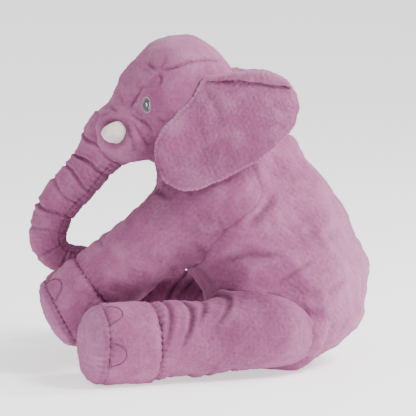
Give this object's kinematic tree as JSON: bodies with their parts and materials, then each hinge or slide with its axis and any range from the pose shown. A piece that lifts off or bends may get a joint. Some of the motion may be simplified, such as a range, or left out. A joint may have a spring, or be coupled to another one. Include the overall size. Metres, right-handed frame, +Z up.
{
  "type": "stuffed elephant",
  "caption": "Large seated plush elephant with padded floppy ears, a ringed trunk curled under, blunt tusks and thick legs with round soles.",
  "frame": {"origin": "middle of the flat seat, on the floor", "axes": "+Z up, the elephant faces -Y, its left side is +X"},
  "size_m": [0.5314, 0.522, 0.506],
  "materials": {
    "lilac_plush": "short soft pile",
    "sole_plush": "short soft pile",
    "ear_lining": "short soft pile",
    "toenail_felt": "matte felt",
    "tusk_felt": "matte felt",
    "eye_rim_thread": "satin thread",
    "eye_iris_thread": "satin thread",
    "polyester_fill": "loose fibre",
    "wadding": "felted fibre"
  },
  "bodies": {
    "torso": {"torso_cover_left": "lilac_plush", "torso_cover_right": "lilac_plush", "base_panel": "lilac_plush", "torso_stuffing": "polyester_fill"},
    "head": {"head_cover_left": "lilac_plush", "head_cover_right": "lilac_plush", "head_stuffing": "polyester_fill", "eye_left_rim": "eye_rim_thread", "eye_left_iris": "eye_iris_thread", "tusk_left_cover": "tusk_felt", "tusk_left_stuffing": "polyester_fill", "eye_right_rim": "eye_rim_thread", "eye_right_iris": "eye_iris_thread", "tusk_right_cover": "tusk_felt", "tusk_right_stuffing": "polyester_fill"},
    "ear_left": {"ear_left_back_panel": "ear_lining", "ear_left_front_panel": "lilac_plush", "ear_left_wadding": "wadding"},
    "ear_right": {"ear_right_back_panel": "ear_lining", "ear_right_front_panel": "lilac_plush", "ear_right_wadding": "wadding"},
    "trunk_upper": {"trunk_upper_cover": "lilac_plush", "trunk_upper_stuffing": "polyester_fill"},
    "trunk_middle": {"trunk_middle_cover": "lilac_plush", "trunk_middle_stuffing": "polyester_fill"},
    "trunk_tip": {"trunk_tip_cover": "lilac_plush", "trunk_tip_stuffing": "polyester_fill", "trunk_end_patch": "sole_plush"},
    "front_leg_left": {"front_leg_left_cover": "lilac_plush", "front_foot_left_cover": "lilac_plush", "front_sole_left": "sole_plush", "front_toenails_left": "toenail_felt", "front_leg_left_stuffing": "polyester_fill"},
    "front_leg_right": {"front_leg_right_cover": "lilac_plush", "front_foot_right_cover": "lilac_plush", "front_sole_right": "sole_plush", "front_toenails_right": "toenail_felt", "front_leg_right_stuffing": "polyester_fill"},
    "hind_leg_left": {"hind_leg_left_cover": "lilac_plush", "hind_foot_left_cover": "lilac_plush", "hind_sole_left": "sole_plush", "hind_toenails_left": "toenail_felt", "hind_leg_left_stuffing": "polyester_fill"},
    "hind_leg_right": {"hind_leg_right_cover": "lilac_plush", "hind_foot_right_cover": "lilac_plush", "hind_sole_right": "sole_plush", "hind_toenails_right": "toenail_felt", "hind_leg_right_stuffing": "polyester_fill"}
  },
  "joints": [
    {"name": "neck_nod", "type": "hinge", "parent": "torso", "child": "head", "pos_m": [0, -0.095, 0.35], "axis": [-1, 0, 0], "range_deg": [-4, 12], "stiffness_Nm_per_rad": 3, "springref_deg": 3.18},
    {"name": "trunk_root_bend", "type": "hinge", "parent": "head", "child": "trunk_upper", "pos_m": [0, -0.268, 0.352], "axis": [-1, 0, 0], "range_deg": [-4, 20], "stiffness_Nm_per_rad": 0.25, "springref_deg": 3.06},
    {"name": "trunk_mid_bend", "type": "hinge", "parent": "trunk_upper", "child": "trunk_middle", "pos_m": [0, -0.323, 0.272], "axis": [-1, 0, 0], "range_deg": [-4, 20], "stiffness_Nm_per_rad": 0.12, "springref_deg": 1.35},
    {"name": "trunk_tip_curl", "type": "hinge", "parent": "trunk_middle", "child": "trunk_tip", "pos_m": [0, -0.367, 0.187], "axis": [-1, 0, 0], "range_deg": [-6, 25], "stiffness_Nm_per_rad": 0.06, "springref_deg": -0.88},
    {"name": "ear_flap_left", "type": "hinge", "parent": "head", "child": "ear_left", "pos_m": [0.08797, -0.133, 0.46008], "axis": [0.3079, -0.6156, -0.7254], "range_deg": [0, 45], "stiffness_Nm_per_rad": 0.08, "springref_deg": 2.45},
    {"name": "ear_flap_right", "type": "hinge", "parent": "head", "child": "ear_right", "pos_m": [-0.08726, -0.133, 0.4515], "axis": [0.3078, 0.788, 0.5332], "range_deg": [0, 45], "stiffness_Nm_per_rad": 0.08, "springref_deg": 3.16},
    {"name": "shoulder_swing_left", "type": "hinge", "parent": "torso", "child": "front_leg_left", "pos_m": [0.084, -0.096, 0.285], "axis": [-1, 0, 0], "range_deg": [0, 12], "stiffness_Nm_per_rad": 0.8, "springref_deg": 9.79},
    {"name": "shoulder_swing_right", "type": "hinge", "parent": "torso", "child": "front_leg_right", "pos_m": [-0.084, -0.096, 0.285], "axis": [-1, 0, 0], "range_deg": [0, 18], "stiffness_Nm_per_rad": 0.8, "springref_deg": 8.93},
    {"name": "hip_splay_left", "type": "hinge", "parent": "torso", "child": "hind_leg_left", "pos_m": [0.11, -0.015, 0.061], "axis": [0, 0, 1], "range_deg": [-2, 25], "stiffness_Nm_per_rad": 1},
    {"name": "hip_splay_right", "type": "hinge", "parent": "torso", "child": "hind_leg_right", "pos_m": [-0.11, -0.015, 0.061], "axis": [0, 0, -1], "range_deg": [-2, 25], "stiffness_Nm_per_rad": 1}
  ]
}
